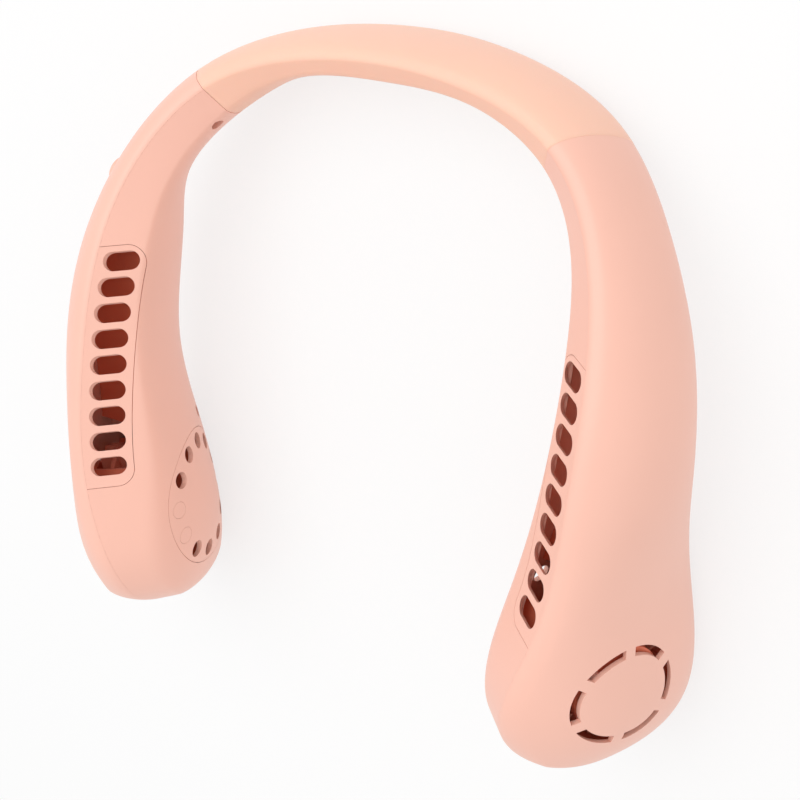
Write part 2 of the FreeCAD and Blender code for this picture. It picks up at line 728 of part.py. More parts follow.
duct_floor = common("duct_floor", formed("floor_plate", floor_plate), arm_hollow)

# Scroll wall round the impeller, open towards the arm
scroll_inside = cell("impeller_radius") + cell("scroll_gap")
pod_depth = cell("impeller_radius") * 4
pod_start = on_axis(-num("impeller_radius") * 2)
scroll_drum = common("scroll_drum", arm_hollow, cylinder(
    "scroll_outside", scroll_inside + cell("scroll_wall"), pod_depth, pod_start))
mouth_corner = Vector(-num("impeller_radius") * 2, -num("scroll_mouth") / 2, 0)
mouth_at = pod_start.multiply(Placement(mouth_corner, Rotation()))
scroll_bore = cylinder("scroll_bore", scroll_inside, pod_depth, pod_start)
mouth_block = box("scroll_mouth_block", cell("impeller_radius") * 2, cell("scroll_mouth"), pod_depth,
                  mouth_at)
scroll = cut("scroll", scroll_drum, scroll_bore, mouth_block)

# Anchor that joins the arm to the band, with the steel strip and the cable through it
anchor_way = ahead_of("junction")
anchor_out = outward_of("junction")
anchor_middle = ridge_of("junction") + anchor_out * (num("junction_lean") / 2)
anchor_middle.z = (num("junction_ridge_z") + num("junction_foot")) / 2 - num("anchor_drop")
past_seam = (anchor_middle - seam_point).dot(seam_normal) / anchor_way.dot(seam_normal)
anchor_middle = anchor_middle - anchor_way * past_seam


def anchor_block(name, grow):
    place = Vector(-num("anchor_thickness") / 2 - plain(grow), -num("anchor_height") / 2 - plain(grow),
                   -num("anchor_length") / 2)
    where = frame(anchor_middle, anchor_out, anchor_way).multiply(Placement(place, Rotation()))
    return box(name, cell("anchor_thickness") + grow * 2, cell("anchor_height") + grow * 2,
               cell("anchor_length"), where)


arc_drop = num("back_ridge_y") - num("junction_ridge_y")
arc_radius = (num("junction_ridge_x") ** 2 + arc_drop ** 2) / (2 * arc_drop)
arc_centre = Vector(0, num("back_ridge_y") - arc_radius, 0)
arc_half = math.asin(num("junction_ridge_x") / arc_radius)


def arc_edge(height, extra):
    """Plan arc of the band core at a height, longer at each end by an extra length."""
    half = arc_half + extra / arc_radius
    ends = [Vector(arc_radius * math.sin(a), arc_radius * math.cos(a), height) for a in (half, 0, -half)]
    return Part.Arc(*[arc_centre + end for end in ends]).toShape()


def strip_shape():
    edge = arc_edge(anchor_middle.z - num("strip_height") / 2, num("strip_end"))
    start = edge.Curve.value(edge.FirstParameter)
    out = (start - Vector(arc_centre.x, arc_centre.y, start.z)).normalize() * (num("strip_thickness") / 2)
    rise = UP * num("strip_height")
    corners = [start - out, start + out, start + out + rise, start - out + rise]
    return Part.Wire(edge).makePipeShell([Part.makePolygon(corners + corners[:1])], True, False)


def cable_shape(radius):
    edge = arc_edge(anchor_middle.z - num("cable_drop"), num("cable_end"))
    start = edge.Curve.value(edge.FirstParameter)
    along = edge.Curve.tangent(edge.FirstParameter)[0]
    ring = Part.Wire(Part.makeCircle(radius, start, along))
    return Part.Wire(edge).makePipeShell([ring], True, False)


strip = formed("strip", strip_shape())
cable = formed("cable", cable_shape(num("cable_radius")))
cable_way = formed("cable_way", cable_shape(num("cable_radius") + num("cable_gap")))
anchor_core = anchor_block("anchor_core", cell("fit_gap") * 0)
flange_slab = Part.makeBox(LARGE, LARGE, num("anchor_flange"), Vector(-LARGE / 2, -LARGE / 2, 0))
flange_slab.Placement = frame(seam_point + seam_normal * num("end_wall"), seam_across, seam_normal)
flange_plate = common("flange_plate", anchor_block("flange_block", cell("anchor_lip")),
                      formed("flange_slab", flange_slab))
anchor_flange = common("anchor_flange_plate", flange_plate, hollow_form)
anchor = cut("anchor", fuse("anchor_whole", anchor_core, anchor_flange), strip, cable)
anchor_hole = anchor_block("anchor_hole", cell("fit_gap"))

# Silicone band between the two seams, moulded round the strip, the cable and the anchors
far_side = mirror("far_arm_side", arm_side)
far_anchor = mirror("far_anchor", anchor_core)
band = cut("band", band_solid, arm_side, far_side, anchor_core, far_anchor, strip, cable)
document.recompute()

# Outlet grille along the ridge
ridge_names = ["shoulder", "upper", "middle", "waist", "pod"]
ridge_curve = Part.BSplineCurve()
ridge_curve.interpolate([ridge_of(name) for name in ridge_names])
ridge_middle = ridge_curve.parameter(ridge_of("middle"))
middle_length = ridge_curve.length(ridge_curve.FirstParameter, ridge_middle)


def down_face(out):
    """Direction down the outlet face for an outward heading."""
    slope = angle("outlet_slope")
    return out * math.cos(slope) + UP * math.sin(slope)


slot_turn = angle("slot_turn")
slot_way = down_face(Vector(math.cos(slot_turn), math.sin(slot_turn), 0))


def grille_frame(step):
    """Frame on the ridge: x along the slots, which are all parallel, and z out of the face."""
    at = ridge_curve.parameterAtDistance(middle_length + num("grille_shift") + step)
    along = Vector(*ridge_curve.tangent(at)[0]).normalize()
    out = Vector(along.y, -along.x, 0).normalize()
    out = out * -1 if out.x < 0 else out
    normal = down_face(out).cross(along).normalize()
    normal = normal * -1 if normal.z < 0 else normal
    across = (slot_way - normal * slot_way.dot(normal)).normalize()
    return frame(ridge_curve.value(at), across, normal)


half_slots = (num("slot_count") - 1) / 2 * num("slot_pitch") + num("slot_width") / 2


def grille_block(grow):
    """Bar along the ridge that bounds the grille, grown at its ends and its inner side."""
    first = -half_slots - num("grille_margin_back") - grow
    last = half_slots + num("grille_margin_front") + grow
    low, high, width = -num("grille_cut"), num("grille_cut"), num("grille_width") + grow
    corners = [(low / 2, low), (width, low), (width, high), (low / 2, high)]
    wires = []
    for share in (0, 0.25, 0.5, 0.75, 1):
        where = grille_frame(first + (last - first) * share)
        points = [where.multVec(Vector(x, 0, z)) for x, z in corners]
        wires.append(Part.makePolygon(points + points[:1]))
    block = Part.makeLoft(wires, True, False)
    ends = []
    for step in (first, last):
        middle = Part.Vertex(grille_frame(step).multVec(Vector(width, 0, 0)))
        ends += [edge for edge in block.Edges if edge.distToShape(middle)[0] < 0.01]
    return block.makeFillet(num("grille_corner") + grow, ends)


def stadium(length, width):
    straight, half = (length - width) / 2, width / 2
    edges = []
    for way in (1, -1):
        start, end = Vector(way * straight, -way * half, 0), Vector(way * straight, way * half, 0)
        edges.append(Part.makeLine(Vector(-way * straight, -way * half, 0), start))
        edges.append(Part.Arc(start, Vector(way * length / 2, 0, 0), end).toShape())
    return Part.Face(Part.Wire(edges))


# The slots are cut along one slanted direction, into the room below the thin middle of the grille
draw = Vector(-math.tan(angle("draw_inward")), math.tan(angle("draw_back")), 1)
slots = []
for i in range(int(num("slot_count"))):
    slot = stadium(num("slot_length"), num("slot_width"))
    step = (i - (num("slot_count") - 1) / 2) * num("slot_pitch")
    where = grille_frame(step)
    slot.Placement = where.multiply(Placement(Vector(num("slot_offset"), 0, 0), Rotation()))
    below = (num("grille_plate") + num("flange_step")) / draw.dot(where.Rotation.multVec(UP))
    slots.append(slot.translated(draw * -below).extrude(draw * (below + num("grille_cut"))))
slot_cutters = formed("slot_cutters", Part.makeCompound(slots))
bar = formed("grille_bar", grille_block(0))
bar_opening = formed("grille_opening", grille_block(num("fit_gap")))
bar_flange = formed("grille_flange_bar", grille_block(num("flange_width")))
bar_window = formed("grille_window_bar", grille_block(-num("flange_inside")))
grille_skin = common("grille_skin", plate_form, bar)
grille_lip = common("grille_lip", lip_form, bar_flange)
grille_room = common("grille_room", room_form, bar_window)
grille_dish = cut("grille_dish", fuse("grille_blank", grille_skin, grille_lip), grille_room)
grille = cut("grille", grille_dish, slot_cutters)

# Intake cover on the inner face and the ring of slots on the outer face
cover_axis = direction("cover_turn", "cover_rise")
cover_point = pod_centre + axis * wall_in - cover_axis * num("impeller_radius")
cover_shift = Placement(Vector(-num("cover_back"), num("cover_drop"), 0), Rotation())
cover_start = frame(cover_point, cover_axis.cross(UP).normalize(), cover_axis).multiply(cover_shift)
cover_depth = cell("impeller_radius") * 2
cover_blank = common("cover_blank", inner_wall, cylinder(
    "cover_drum", cell("cover_radius"), cover_depth, cover_start))
cover_opening = cylinder("cover_opening", cell("cover_radius") + cell("fit_gap"), cover_depth, cover_start)
holes = []
plugs = []
PLUGGED = (8, 9)
for i in range(int(num("hole_count"))):
    turn = num("hole_turn") + i * 360 / num("hole_count")
    spoke = Rotation(UP, turn).multVec(Vector(num("hole_circle"), 0, 0))
    where = cover_start.multiply(Placement(spoke, Rotation()))
    holes.append(cylinder("cover_hole_%d" % i, cell("hole_radius"), cover_depth, where))
    if i in PLUGGED:
        peg = cylinder("cover_peg_%d" % i, cell("hole_radius") - cell("fit_gap") / 2, cover_depth, where)
        plugs.append(common("cover_plug_%d" % i, cover_blank, peg))
cover = cut("cover", cover_blank, *holes)
cover_plugs = group("cover_plugs", *plugs)



def oval_bar(inset):
    """Oval bar through the outer wall, smaller all round by an inset."""
    oval = Part.Ellipse(Vector(0, num("ring_height") - inset, 0), Vector(num("ring_breadth") - inset, 0, 0),
                        Vector(0, 0, 0))
    return Part.Face(Part.Wire(oval.toShape())).extrude(UP * (num("ring_reach") * 2))


ring_tube = oval_bar(0).cut(oval_bar(num("ring_width")))
for i in range(int(num("ring_slots"))):
    turn = math.radians(num("ring_turn") + i * 360 / num("ring_slots"))
    turn = math.atan2(num("ring_height") * math.sin(turn), num("ring_breadth") * math.cos(turn))
    bridge = Part.makeBox(num("ring_height") * 2, num("ring_bridge"), num("ring_reach") * 2,
                          Vector(0, -num("ring_bridge") / 2, 0))
    ring_tube = ring_tube.cut(bridge.rotated(Vector(0, 0, 0), UP, math.degrees(turn)))
ring_cutter = formed("ring_cutter", ring_tube)
ring_cutter.Placement = on_axis(wall_out - num("ring_reach"))

# Controls, drawn on this arm and mirrored to the left one
share = num("control_shift")
control_out = (outward_of("shoulder") * (1 - share) + outward_of("upper") * share).normalize()
control_along = control_out.cross(UP)
control_point = ridge_of("shoulder") * (1 - share) + ridge_of("upper") * share
control_point.z = num("control_height")
surface = span(arm_full, control_point, control_out)[1]
control_top = control_point + control_out * surface
inner_top = surface - span(arm_hollow, control_point, control_out)[1]


def control_at(depth, along=0, drop=0):
    """Frame on the control axis: z outward, x along the arm, a depth below the surface."""
    point = control_top - control_out * plain(depth) + control_along * along - UP * drop
    return frame(point, control_along, control_out)


flange_low = cell("switch_gap") + cell("button_travel")
flange_high = flange_low + cell("button_flange_height")
cap_top = flange_high + cell("button_gap") + measured(inner_top) + cell("button_rise")
button_seat = plain(cap_top) - num("button_rise")
button = turned("button", [
    (0, flange_low), (cell("button_radius") + cell("button_flange"), flange_low),
    (cell("button_radius") + cell("button_flange"), flange_high), (cell("button_radius"), flange_high),
    (cell("button_radius"), cap_top - cell("button_round")),
    (cell("button_radius") - cell("button_round"), cap_top), (0, cap_top)], control_at(button_seat))
button_hole = cylinder("button_hole", cell("button_radius") + cell("button_gap"), cell("button_radius") * 4,
                       control_at(button_seat))
button_room = cylinder("button_room", cell("button_radius") + cell("button_flange") + cell("button_gap"),
                       flange_high + cell("button_gap"), control_at(button_seat))
switch = fuse("switch", box(
    "switch_case", cell("switch_size"), cell("switch_size"), cell("switch_height"),
    control_at(button_seat + num("switch_height") + num("plunger_height")).multiply(
        Placement(Vector(-num("switch_size") / 2, -num("switch_size") / 2, 0), Rotation()))),
    cylinder("switch_plunger", cell("plunger_radius"), cell("switch_height") + cell("plunger_height"),
             control_at(button_seat + num("switch_height") + num("plunger_height"))))
board_face = button_seat + num("switch_height") + num("plunger_height")
board_corner = Vector(-num("board_length") / 2, -num("board_width") / 2, 0)
board_plate = box("board_plate", cell("board_length"), cell("board_width"), cell("board_thickness"),
                  control_at(board_face + num("board_thickness"), drop=num("board_drop")).multiply(
                      Placement(board_corner, Rotation())))
board_posts = []
for i, way in enumerate((-1, 1)):
    where = control_at(board_face, along=way * num("board_post_spread"))
    board_posts.append(cylinder("board_post_%d" % i, cell("board_post"), cell("board_post") * 10, where))

lights = []
light_holes = []
for i in range(int(num("light_count"))):
    along = (i - (num("light_count") - 1) / 2) * num("light_pitch")
    where = control_at(board_face, along=along, drop=num("light_drop"))
    rod = cylinder("light_rod_%d" % i, cell("light_radius"), cell("light_radius") * 30, where)
    lights.append(common("light_%d" % i, rod, arm_full))
    light_holes.append(cylinder("light_hole_%d" % i, cell("light_radius") + cell("light_gap"),
                                cell("light_radius") * 30, where))
charge_lights = group("charge_lights_all", *lights)

# Charging socket on the board, its mouth in the underside of the arm
usb_line = control_top - control_out * (board_face - num("usb_thickness") / 2)
usb_low, usb_high = span(arm_full, usb_line, UP)
usb_mouth = usb_line + UP * (usb_low + num("usb_mouth"))


def usb_block(name, grow, low, high):
    """Rounded bar of the socket's section, from a height to a height above its mouth."""
    width, thickness = num("usb_width") + 2 * grow, num("usb_thickness") + 2 * grow
    corner = num("usb_corner") + grow
    bar_shape = Part.makeBox(width, thickness, high - low, Vector(-width / 2, -thickness / 2, low))
    upright = [edge for edge in bar_shape.Edges if abs(edge.Vertexes[0].Z - edge.Vertexes[1].Z) > 0.5]
    bar_shape = bar_shape.makeFillet(corner, upright)
    bar_shape.Placement = frame(usb_mouth, control_along, UP)
    return formed(name, bar_shape)


usb_body = usb_block("usb_body", 0, 0, num("usb_depth"))
usb_hollow = usb_block("usb_hollow", -num("usb_wall"), 0, num("usb_depth") - 1)
usb_tongue = Part.makeBox(num("usb_width") - 2.2, num("usb_tongue"), num("usb_depth") - 1.2,
                          Vector(-num("usb_width") / 2 + 1.1, -num("usb_tongue") / 2, 0.8))
usb_tongue.Placement = frame(usb_mouth, control_along, UP)
usb_socket = fuse("usb", cut("usb_case", usb_body, usb_hollow), formed("usb_tongue", usb_tongue))
usb_opening = usb_block("usb_opening", num("usb_gap"), -20, num("usb_depth") + num("usb_gap"))
document.recompute()
board = cut("board", common("board_in_arm", board_plate, arm_core), usb_opening, cell_bed)


# Wall across the arm at the seam
end_slab = Part.makeBox(LARGE, LARGE, num("end_wall"), Vector(-LARGE / 2, -LARGE / 2, 0))
end_slab.Placement = frame(seam_point, seam_across, seam_normal)
end_block = cut("end_block", formed("end_slab", end_slab), anchor_hole)


# Shells: a wall with its end, nose, cradles, posts and bosses
def shells(name, extra_posts, outer_extra, inner_extra):
    ribs = cut(name + "_ribs", fuse(name + "_stays", *(cradles + posts + bosses + extra_posts)), cell_bed)
    stays = fuse(name + "_inside", ribs, end_block)
    outer_stays = common(name + "_outer_stays", stays, outer_half)
    inner_stays = common(name + "_inner_stays", stays, inner_half)
    outer = cut(name + "_outer", fuse(name + "_outer_blank", outer_wall, outer_stays),
                ring_cutter, anchor_hole, cable_way, *(pilots + threads + outer_extra))
    inner = cut(name + "_inner", fuse(name + "_inner_blank", inner_wall, inner_stays),
                bar_opening, cover_opening, anchor_hole, cable_way, *(sinks + shanks + inner_extra))
    return outer, inner


right_outer, right_inner = shells("right", [], [], [])
control_holes = [button_hole, button_room, usb_opening] + light_holes
control_outer, control_inner = shells("control", board_posts, control_holes, [usb_opening])
document.recompute()

# Nodes of the assembly
shared = {
    "outlet_grille": grille, "intake_cover": cover, "cover_plugs": cover_plugs, "fan_scroll": scroll,
    "duct_floor": duct_floor, "motor_bracket": bracket, "motor": motor, "motor_screws": motor_screws,
    "motor_shaft": shaft, "impeller": impeller, "battery": battery, "band_anchor": anchor,
    "upper_screw": case_screws["upper"], "lower_screw": case_screws["lower"],
}
nodes = {"neck_band": band, "spring_strip": strip, "band_cable": cable}
nodes["right_outer_shell"] = right_outer
nodes["right_inner_shell"] = right_inner
nodes["left_outer_shell"] = mirror("left_outer", control_outer)
nodes["left_inner_shell"] = mirror("left_inner", control_inner)
for name, item in shared.items():
    nodes["right_" + name] = item
    nodes["left_" + name] = mirror("left_" + name + "_copy", item)
for name, item in (("power_button", button), ("tact_switch", switch), ("control_board", board),
                   ("usb_socket", usb_socket), ("charge_lights", charge_lights)):
    nodes[name] = mirror(name + "_copy", item)
document.recompute()

faults = []
for item in document.Objects:
    if "Invalid" in item.State or "Error" in item.State:
        faults.append("%s is %s" % (item.Name, item.State))
for name, item in nodes.items():
    item.Label = name
    if item.Shape.isNull() or not item.Shape.isValid() or not item.Shape.Solids:
        faults.append("%s has no valid solid" % name)
if faults:
    raise RuntimeError("; ".join(faults))

os.makedirs("parts", exist_ok=True)
for name, item in nodes.items():
    item.Shape.exportStep(os.path.join("parts", name + ".step"))
    box_size = item.Shape.BoundBox
    print("%-22s solids %2d volume %9.1f  x %6.1f %6.1f  y %6.1f %6.1f  z %6.1f %6.1f" % (
        name, len(item.Shape.Solids), item.Shape.Volume, box_size.XMin, box_size.XMax,
        box_size.YMin, box_size.YMax, box_size.ZMin, box_size.ZMax))


def shown(vector):
    return "(%.6f, %.6f, %.6f)" % (vector.x, vector.y, vector.z)


print("pod centre", shown(pod_centre), "axis", shown(axis), "walls", wall_in, wall_out)
print("button top", shown(control_top), "outward", shown(control_out))
print("socket mouth", shown(usb_mouth), "along", shown(control_along))
print("seam point", shown(seam_point), "normal", shown(seam_normal), "anchor", shown(anchor_middle))
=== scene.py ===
import json
import math

import bmesh
import bpy
import numpy as np
from mathutils import Matrix, Vector
from mathutils.geometry import interpolate_bezier

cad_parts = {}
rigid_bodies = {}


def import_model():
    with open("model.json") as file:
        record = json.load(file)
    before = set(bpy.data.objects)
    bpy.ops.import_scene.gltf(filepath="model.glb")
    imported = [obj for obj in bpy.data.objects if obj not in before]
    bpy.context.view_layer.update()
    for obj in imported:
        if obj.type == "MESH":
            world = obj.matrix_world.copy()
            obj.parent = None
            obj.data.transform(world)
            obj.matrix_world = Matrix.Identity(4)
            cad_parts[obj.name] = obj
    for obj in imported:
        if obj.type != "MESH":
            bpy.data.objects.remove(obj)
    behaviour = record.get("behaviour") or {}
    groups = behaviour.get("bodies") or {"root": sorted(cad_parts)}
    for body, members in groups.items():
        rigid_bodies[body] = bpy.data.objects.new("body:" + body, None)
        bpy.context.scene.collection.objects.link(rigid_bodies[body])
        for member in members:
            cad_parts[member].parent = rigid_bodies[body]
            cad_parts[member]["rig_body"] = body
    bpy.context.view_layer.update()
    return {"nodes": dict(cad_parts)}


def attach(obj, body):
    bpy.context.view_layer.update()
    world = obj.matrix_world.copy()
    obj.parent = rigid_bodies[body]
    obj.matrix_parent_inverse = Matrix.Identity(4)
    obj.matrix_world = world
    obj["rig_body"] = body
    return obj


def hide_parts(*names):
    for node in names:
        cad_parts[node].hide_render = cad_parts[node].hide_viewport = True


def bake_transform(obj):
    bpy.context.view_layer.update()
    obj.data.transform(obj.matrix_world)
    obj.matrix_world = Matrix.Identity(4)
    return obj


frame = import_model()
nodes = frame["nodes"]
MM = 0.001
WHITE = (1, 1, 1, 1)
SIDES = {"right": 1, "left": -1}
BENT_NODES = ("neck_band", "spring_strip", "band_cable")


# Shader nodes

class Value:
    """A shader socket that takes part in Python expressions."""

    def __init__(self, shading, socket):
        self.shading = shading
        self.socket = socket

    def combine(self, operation, first, second):
        node = self.shading.node("ShaderNodeMath", {"operation": operation}, {0: first, 1: second})
        return Value(self.shading, node.outputs[0])

    def __add__(self, other):
        return self.combine("ADD", self, other)

    def __radd__(self, other):
        return self.combine("ADD", other, self)

    def __sub__(self, other):
        return self.combine("SUBTRACT", self, other)

    def __rsub__(self, other):
        return self.combine("SUBTRACT", other, self)

    def __mul__(self, other):
        return self.combine("MULTIPLY", self, other)

    def __rmul__(self, other):
        return self.combine("MULTIPLY", other, self)


class Shading:
    """The node tree of a material or of the world."""

    def __init__(self, owner):
        owner.use_nodes = True
        self.tree = owner.node_tree

    def node(self, kind, settings=None, sockets=None):
        node = self.tree.nodes.new(kind)
        for key, value in (settings or {}).items():
            setattr(node, key, value)
        for key, value in (sockets or {}).items():
            self.plug(node.inputs[key], value)
        return node

    def plug(self, socket, value):
        if isinstance(value, Value):
            self.tree.links.new(value.socket, socket)
        else:
            socket.default_value = value

    def looked_at(self):
        """One for the camera, a reflection or a look through glass, and zero for other rays."""
        path = self.node("ShaderNodeLightPath")
        looked = Value(self, path.outputs["Is Camera Ray"])
        for kind in ("Glossy", "Transmission"):
            looked = looked.combine("MAXIMUM", looked, Value(self, path.outputs["Is %s Ray" % kind]))
        return looked


class Finish(Shading):
    """A material on the Principled shader."""

    def __init__(self, name):
        self.material = bpy.data.materials.new(name)
        super().__init__(self.material)
        self.tree.nodes.clear()
        self.output = self.node("ShaderNodeOutputMaterial")
        self.shader = self.node("ShaderNodeBsdfPrincipled")
        self.show(self.shader)

    def show(self, shader):
        self.plug(self.output.inputs["Surface"], Value(self, shader.outputs[0]))

    def set(self, **values):
        for key, value in values.items():
            self.plug(self.shader.inputs[key.replace("_", " ")], value)

    def place(self, stretch=(1, 1, 1)):
        where = Value(self, self.node("ShaderNodeTexCoord").outputs["Object"])
        stretched = self.node("ShaderNodeMapping", None, {"Vector": where, "Scale": stretch})
        return Value(self, stretched.outputs[0])

    def noise(self, where, scale, detail):
        node = self.node("ShaderNodeTexNoise", None, {"Vector": where, "Scale": scale, "Detail": detail})
        return Value(self, node.outputs[0])

    def mix(self, share, first, second):
        node = self.node("ShaderNodeMix", {"data_type": "RGBA"}, {0: share, 6: first, 7: second})
        return Value(self, node.outputs[2])

    def bump(self, height, strength, distance):
        sockets = {"Height": height, "Strength": strength, "Distance": distance}
        return Value(self, self.node("ShaderNodeBump", None, sockets).outputs[0])

    def whiten(self, share):
        """Show plain white for a share of this surface, so that the shadows on it stay pale."""
        glow = self.node("ShaderNodeEmission", None, {"Color": WHITE, "Strength": 1.0})
        plain, white = Value(self, self.shader.outputs[0]), Value(self, glow.outputs[0])
        self.show(self.node("ShaderNodeMixShader", None, {0: self.looked_at() * share, 1: plain, 2: white}))


def linear(red, green, blue):
    """Colour for a shader, from the 0 to 255 values that a screen shows."""
    def channel(value):
        value = value / 255
        return value / 12.92 if value <= 0.04045 else ((value + 0.055) / 1.055) ** 2.4
    return (channel(red), channel(green), channel(blue), 1)


def shaded(colour, factor):
    return tuple(min(1, part * factor) for part in colour[:3]) + (1,)


# Finishes: noise scales are per metre, and tints are the darkest and palest clouds
PLASTIC_TINTS = (0.955, 1.045)
PLASTIC_CLOUDS = 22
METAL_TINTS = (0.9, 1.08)
METAL_CLOUDS = 60
METAL_LINES = 900
GRAIN_DEPTH = 0.1 * MM
LINE_DEPTH = 0.05 * MM


def clouded(finish, cloud, colour, tints):
    dark, pale = tints
    return finish.mix(cloud, shaded(colour, dark), shaded(colour, pale))


def moulded(name, colour, rough, grain_size=0.4, relief=0.05, coat=0.0):
    """Moulded plastic or silicone: a fine grain of a size in mm, faint flow clouds and a satin gloss."""
    finish = Finish(name)
    where = finish.place()
    cloud = finish.noise(where, PLASTIC_CLOUDS, detail=3)
    grain = finish.noise(where, 1 / (grain_size * MM), detail=2)
    finish.set(Base_Color=clouded(finish, cloud, colour, PLASTIC_TINTS),
               Roughness=rough + (cloud - 0.5) * 0.08 + (grain - 0.5) * 0.10,
               Normal=finish.bump(grain, relief, GRAIN_DEPTH), Coat_Weight=coat, Coat_Roughness=0.25)
    return finish


def metal(name, colour, rough, stretch=1):
    """Drawn, rolled or plated steel, with fine lines across its height."""
    finish = Finish(name)
    lines = finish.noise(finish.place((1, 1, stretch)), METAL_LINES, detail=3)
    cloud = finish.noise(finish.place(), METAL_CLOUDS, detail=2)
    finish.set(Base_Color=clouded(finish, cloud, colour, METAL_TINTS), Metallic=1.0,
               Roughness=rough + (lines - 0.5) * 0.2, Normal=finish.bump(lines, 0.06, LINE_DEPTH))
    return finish


PEACH = linear(247, 192, 173)
BAND_PEACH = linear(254, 200, 176)
BUTTON_PEACH = shaded(PEACH, 1.03)
# Painted shade: the scroll, duct floor and motor bracket get a darker, redder peach than the shell, so the
# inside seen through the slots looks shaded
SHADE_DEEPENED_PEACH = linear(244, 134, 101)
WHEEL_PEACH = linear(242, 160, 134)
shell_plastic = moulded("shell_plastic", PEACH, rough=0.42, coat=0.12)
cover_plastic = moulded("cover_plastic", PEACH, rough=0.44, coat=0.12)
# Inner pieces in the darkened peach, a painted shade rather than their own plastic colour
duct_plastic = moulded("duct_plastic", SHADE_DEEPENED_PEACH, rough=0.5)
band_silicone = moulded("band_silicone", BAND_PEACH, rough=0.5, grain_size=0.25, relief=0.03)
band_silicone.set(Sheen_Weight=0.12, Sheen_Roughness=0.4, Subsurface_Weight=0.06, Subsurface_Scale=3 * MM)
button_plastic = moulded("button_plastic", BUTTON_PEACH, rough=0.4, coat=0.15)
wheel_plastic = moulded("wheel_plastic", WHEEL_PEACH, rough=0.45)
white_plastic = moulded("white_plastic", linear(232, 230, 226), rough=0.4)
black_plastic = moulded("black_plastic", linear(34, 34, 36), rough=0.45)
cable_skin = moulded("cable_skin", linear(30, 30, 32), rough=0.5)
cell_sleeve = moulded("cell_sleeve", linear(58, 104, 150), rough=0.25, coat=0.4)
board_laminate = moulded("board_laminate", linear(30, 92, 58), rough=0.35, coat=0.3)
light_pipe = moulded("light_pipe", linear(244, 242, 234), rough=0.2, coat=0.3)
light_pipe.set(Transmission_Weight=0.35)
screw_steel = metal("screw_steel", linear(196, 196, 198), rough=0.32)
shaft_steel = metal("shaft_steel", linear(205, 205, 208), rough=0.25, stretch=12)
motor_can = metal("motor_can", linear(188, 188, 192), rough=0.34, stretch=10)
spring_steel = metal("spring_steel", linear(176, 178, 182), rough=0.3, stretch=14)
socket_steel = metal("socket_steel", linear(200, 200, 204), rough=0.3, stretch=6)

ARM_FINISHES = {
    "outer_shell": shell_plastic, "inner_shell": shell_plastic, "outlet_grille": cover_plastic,
    "intake_cover": cover_plastic, "cover_plugs": cover_plastic, "fan_scroll": duct_plastic,
    "duct_floor": duct_plastic, "motor_bracket": duct_plastic, "motor": motor_can,
    "motor_screws": screw_steel, "motor_shaft": shaft_steel, "impeller": wheel_plastic,
    "battery": cell_sleeve, "band_anchor": white_plastic, "upper_screw": screw_steel,
    "lower_screw": screw_steel}
finishes = {side + "_" + node: finish for side in SIDES for node, finish in ARM_FINISHES.items()}
finishes.update({
    "power_button": button_plastic, "tact_switch": black_plastic, "control_board": board_laminate,
    "usb_socket": socket_steel, "charge_lights": light_pipe, "spring_strip": spring_steel,
    "band_cable": cable_skin, "neck_band": band_silicone})


def dress(piece, finish):
    piece.data.materials.clear()
    piece.data.materials.append(finish.material)


for name, node in nodes.items():
    dress(node, finishes[name])


# Pieces made from bmesh
WELD = 0.002 * MM
CUT_WELD = 0.001 * MM
CRISP_ANGLE = math.radians(35)


def finished(form, name, finish):
    mesh = bpy.data.meshes.new(name)
    form.to_mesh(mesh)
    form.free()
    piece = bpy.data.objects.new(name, mesh)
    bpy.context.scene.collection.objects.link(piece)
    dress(piece, finish)
    return piece


def smooth_faces(form):
    """Smooth shading, with the edges that turn sharply kept crisp."""
    for face in form.faces:
        face.smooth = True
    for edge in form.edges:
        if len(edge.link_faces) == 2:
            edge.smooth = edge.calc_face_angle() < CRISP_ANGLE


def merged_copy(node):
    form = bmesh.new()
    form.from_mesh(node.data)
    bmesh.ops.remove_doubles(form, verts=form.verts, dist=WELD)
    return form


def cut_along(form, point, normal, clear=False):
    """Cut all faces along a plane, and clear the side that the normal points to if asked."""
    bmesh.ops.bisect_plane(form, geom=form.verts[:] + form.edges[:] + form.faces[:], dist=CUT_WELD,
                           plane_co=point, plane_no=normal, clear_outer=clear)


def open_edges(form):
    return [edge for edge in form.edges if edge.is_boundary]


# Rigid pieces keep their CAD form and get even shading
for name in list(nodes):
    if name in BENT_NODES:
        continue
    form = merged_copy(nodes[name])
    smooth_faces(form)
    piece = finished(form, name + "_piece", finishes[name])
    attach(piece, nodes[name]["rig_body"])
    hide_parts(name)


# Sections of the band, as its mould has them in mm and degrees, from the middle to past the seam at the arm.
# The crest's arc runs down the outer side by some lengths of its tangent.
OUTER_SLOPE = math.radians(-14)
OUTLET_SLOPE = math.radians(222)
CREST_TURN = OUTLET_SLOPE - OUTER_SLOPE - math.pi
CREST_SPREAD = 2
OUTER_REACH = 1.2
BROW_REACH = 0.6
BAND_SECTIONS = (
    dict(ridge=(0, 83.7, 30.5), lean=3, foot=0, bulge=5.5, belly=6.5, face=7, turn=90, crest=2.5),
    dict(ridge=(27.5, 80.7, 31), lean=2, foot=1.5, bulge=7, belly=6, face=6, turn=72, crest=2.5),
    dict(ridge=(52, 70.7, 34), lean=1, foot=3, bulge=8.5, belly=7, face=9.5, turn=48, crest=2.5),
    dict(ridge=(69.5, 48.2, 43.5), lean=5, foot=14.5, bulge=9.5, belly=9, face=11, turn=22, crest=2.8),
    dict(ridge=(75.5, 26.7, 51), lean=3.5, foot=13, bulge=15, belly=9.5, face=13.5, turn=6, crest=3.1),
)
SEAM_POINT = Vector((52, 70.7, 34)) * MM
SEAM_TURN = math.radians(44)
SEAM_LEAN = math.radians(19)
SEAM_NORMAL = Vector((math.sin(SEAM_TURN) * math.cos(SEAM_LEAN), -math.cos(SEAM_TURN) * math.cos(SEAM_LEAN),
                      math.sin(SEAM_LEAN)))


